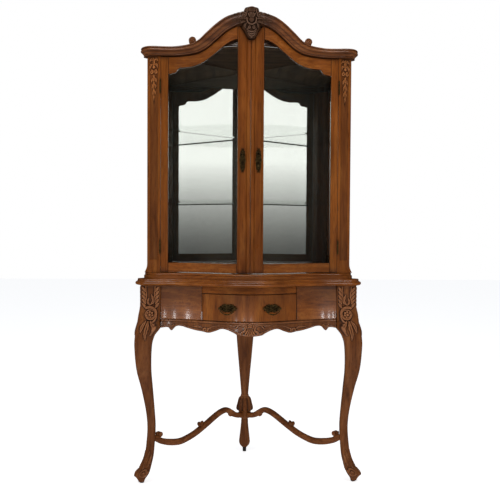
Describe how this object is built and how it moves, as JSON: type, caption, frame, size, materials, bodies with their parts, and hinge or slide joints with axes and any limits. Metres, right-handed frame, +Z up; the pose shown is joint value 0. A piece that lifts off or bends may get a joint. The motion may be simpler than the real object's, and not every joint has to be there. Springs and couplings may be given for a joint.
{
  "type": "corner china cabinet",
  "caption": "Corner china cabinet with arched glazed doors, a carved crest, a one-drawer stand, cabriole legs and scrolled stretchers.",
  "frame": {"origin": "centre of the bounding box in plan, at floor level", "axes": "+Z up, the front faces -Y, +X to the right as one looks at the front; the walls of the room's corner meet at the back, on +Y"},
  "size_m": [0.972, 0.65, 1.996],
  "materials": {
    "walnut": "warm orange-brown varnished walnut, satin to gloss",
    "carving": "dark carved walnut with worn high spots",
    "inside": "plain stained secondary wood",
    "drawer_box": "plain unvarnished oak",
    "glass": "clear bent glass",
    "mirror": "aged, foxed mirror",
    "brass": "dark antique brass",
    "pad": "dark matt glide"
  },
  "bodies": {
    "cabinet": {"stand_top": "walnut", "leg_front_left": "walnut", "leg_front_right": "walnut", "leg_back": "walnut", "frieze_panel_left": "walnut", "frieze_panel_right": "walnut", "drawer_top_rail": "walnut", "apron": "walnut", "stretcher_left": "walnut", "stretcher_right": "walnut", "cabinet_base": "walnut", "pilaster_left": "walnut", "pilaster_right": "walnut", "cornice": "walnut", "crest": "carving", "back_rail_left": "inside", "back_rail_right": "inside", "drawer_runner_left": "inside", "drawer_runner_right": "inside", "cabinet_top": "inside", "back_panel_left": "inside", "back_panel_right": "inside", "shelf_lower": "glass", "shelf_upper": "glass", "back_mirror_left": "mirror", "back_mirror_right": "mirror", "shelf_rail_lower": "mirror", "shelf_rail_upper": "mirror", "glide_front_left": "pad", "glide_front_right": "pad", "glide_back": "pad", "door_hinge_left_lower": "brass", "door_hinge_left_upper": "brass", "door_hinge_right_lower": "brass", "door_hinge_right_upper": "brass"},
    "door_left": {"door_left_hinge_stile": "walnut", "door_left_meeting_stile": "walnut", "door_left_top_rail": "walnut", "door_left_bottom_rail": "walnut", "door_left_glass": "glass", "door_left_escutcheon": "brass", "lock_case": "brass"},
    "door_right": {"door_right_hinge_stile": "walnut", "door_right_meeting_stile": "walnut", "door_right_top_rail": "walnut", "door_right_bottom_rail": "walnut", "door_right_glass": "glass", "door_right_escutcheon": "brass"},
    "drawer": {"drawer_front": "walnut", "drawer_side_left": "drawer_box", "drawer_side_right": "drawer_box", "drawer_back": "drawer_box", "drawer_bottom": "drawer_box", "drawer_plate_left": "brass", "drawer_plate_right": "brass"},
    "bail_left": {"drawer_bail_left": "brass"},
    "bail_right": {"drawer_bail_right": "brass"},
    "key": {"door_key": "brass"},
    "bolt": {"lock_bolt": "brass"}
  },
  "joints": [
    {"name": "door_left_hinge", "type": "hinge", "parent": "cabinet", "child": "door_left", "pos_m": [-0.3803, -0.1794, 1.35], "axis": [0, 0, -1], "range_deg": [0, 110]},
    {"name": "door_right_hinge", "type": "hinge", "parent": "cabinet", "child": "door_right", "pos_m": [0.3803, -0.1794, 1.35], "axis": [0, 0, 1], "range_deg": [0, 110]},
    {"name": "drawer_slide", "type": "slide", "parent": "cabinet", "child": "drawer", "axis": [0, -1, 0], "range_m": [0, 0.26]},
    {"name": "bail_left_swing", "type": "hinge", "parent": "drawer", "child": "bail_left", "pos_m": [-0.09612, -0.30368, 0.759], "axis": [-0.9474, 0.3201, 0], "range_deg": [0, 78]},
    {"name": "bail_right_swing", "type": "hinge", "parent": "drawer", "child": "bail_right", "pos_m": [0.09612, -0.30368, 0.759], "axis": [-0.9474, -0.3201, 0], "range_deg": [0, 78]},
    {"name": "key_turn", "type": "hinge", "parent": "door_left", "child": "key", "pos_m": [-0.033, -0.26878, 1.4], "axis": [0, 1, 0], "range_deg": [0, 90]},
    {"name": "bolt_slide", "type": "slide", "parent": "door_left", "child": "bolt", "axis": [1, 0, 0], "range_m": [0, 0.018]}
  ],
  "couplings": [
    {"joint": "key_turn", "follows": "bolt_slide", "rad_per_m": 87.2}
  ]
}
